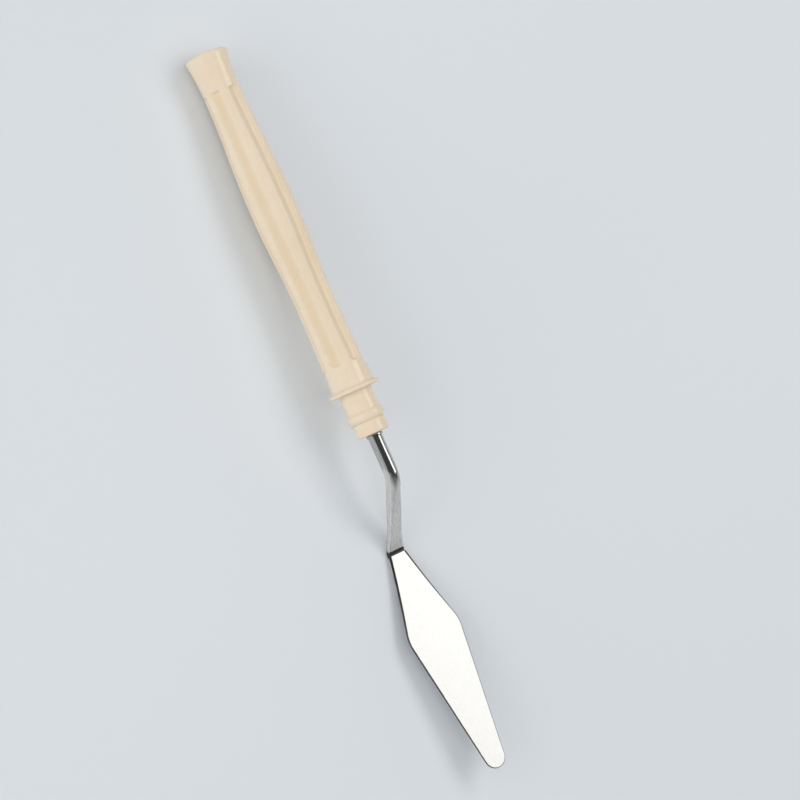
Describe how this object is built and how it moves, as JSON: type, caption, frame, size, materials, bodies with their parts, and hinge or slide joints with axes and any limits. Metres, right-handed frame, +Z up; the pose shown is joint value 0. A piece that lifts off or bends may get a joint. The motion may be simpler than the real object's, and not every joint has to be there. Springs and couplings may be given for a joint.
{
  "type": "palette knife",
  "caption": "Cranked palette knife: a thin diamond-shaped steel blade on a bent shank, set in a slim fluted plastic handle with a flange.",
  "frame": {"origin": "on the table, under the middle of the knife's length and on its plane of symmetry", "axes": "+X from the butt of the handle to the tip of the blade, +Z up with the blade's upper face up, +Y across the blade"},
  "size_m": [0.2052, 0.0174, 0.0192],
  "materials": {
    "handle_plastic": "moulded ivory plastic, glossy",
    "shank_steel": "polished round at the handle, ground to a satin grey down the crank",
    "blade_steel": "fine satin, almost mirror bright",
    "braze_metal": "dark smooth fillet"
  },
  "bodies": {
    "root": {"handle": "handle_plastic", "shank": "shank_steel", "blade": "blade_steel", "heel_braze": "braze_metal"}
  },
  "joints": []
}
